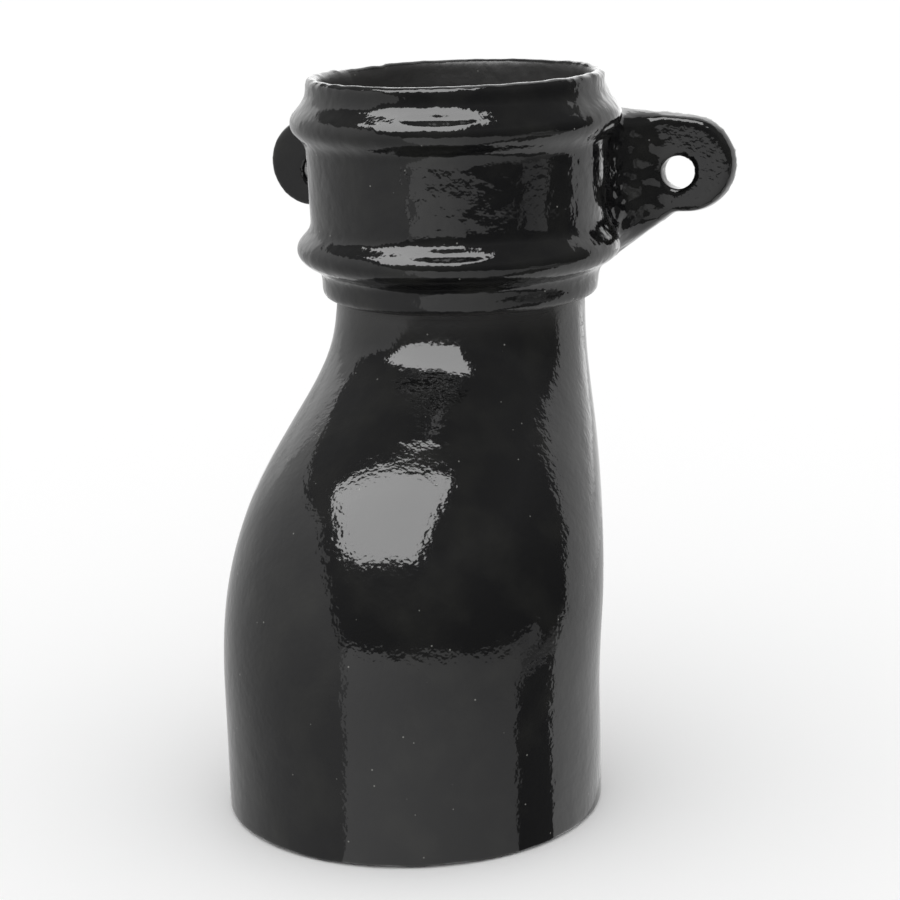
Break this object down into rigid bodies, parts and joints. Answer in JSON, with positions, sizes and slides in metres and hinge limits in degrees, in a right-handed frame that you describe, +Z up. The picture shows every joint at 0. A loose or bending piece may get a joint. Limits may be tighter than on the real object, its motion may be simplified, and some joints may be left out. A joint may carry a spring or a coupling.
{
  "type": "downpipe shoe",
  "caption": "Cast-iron rainwater downpipe shoe: a beaded socket with fixing ears above a body that bends forward and widens to a round, level outlet.",
  "frame": {"origin": "on the axis of the pipe socket, at the seat that the pipe's end stands on", "axes": "+Z up the pipe's axis and out of the socket's mouth, -Y forward, the way the body bends, +Y towards the wall, and the ears along X"},
  "size_m": [0.1754, 0.1794, 0.239],
  "materials": {
    "black_paint": "grey iron casting, dipped in gloss black paint"
  },
  "bodies": {
    "root": {"shoe_casting": "black_paint"}
  },
  "joints": []
}
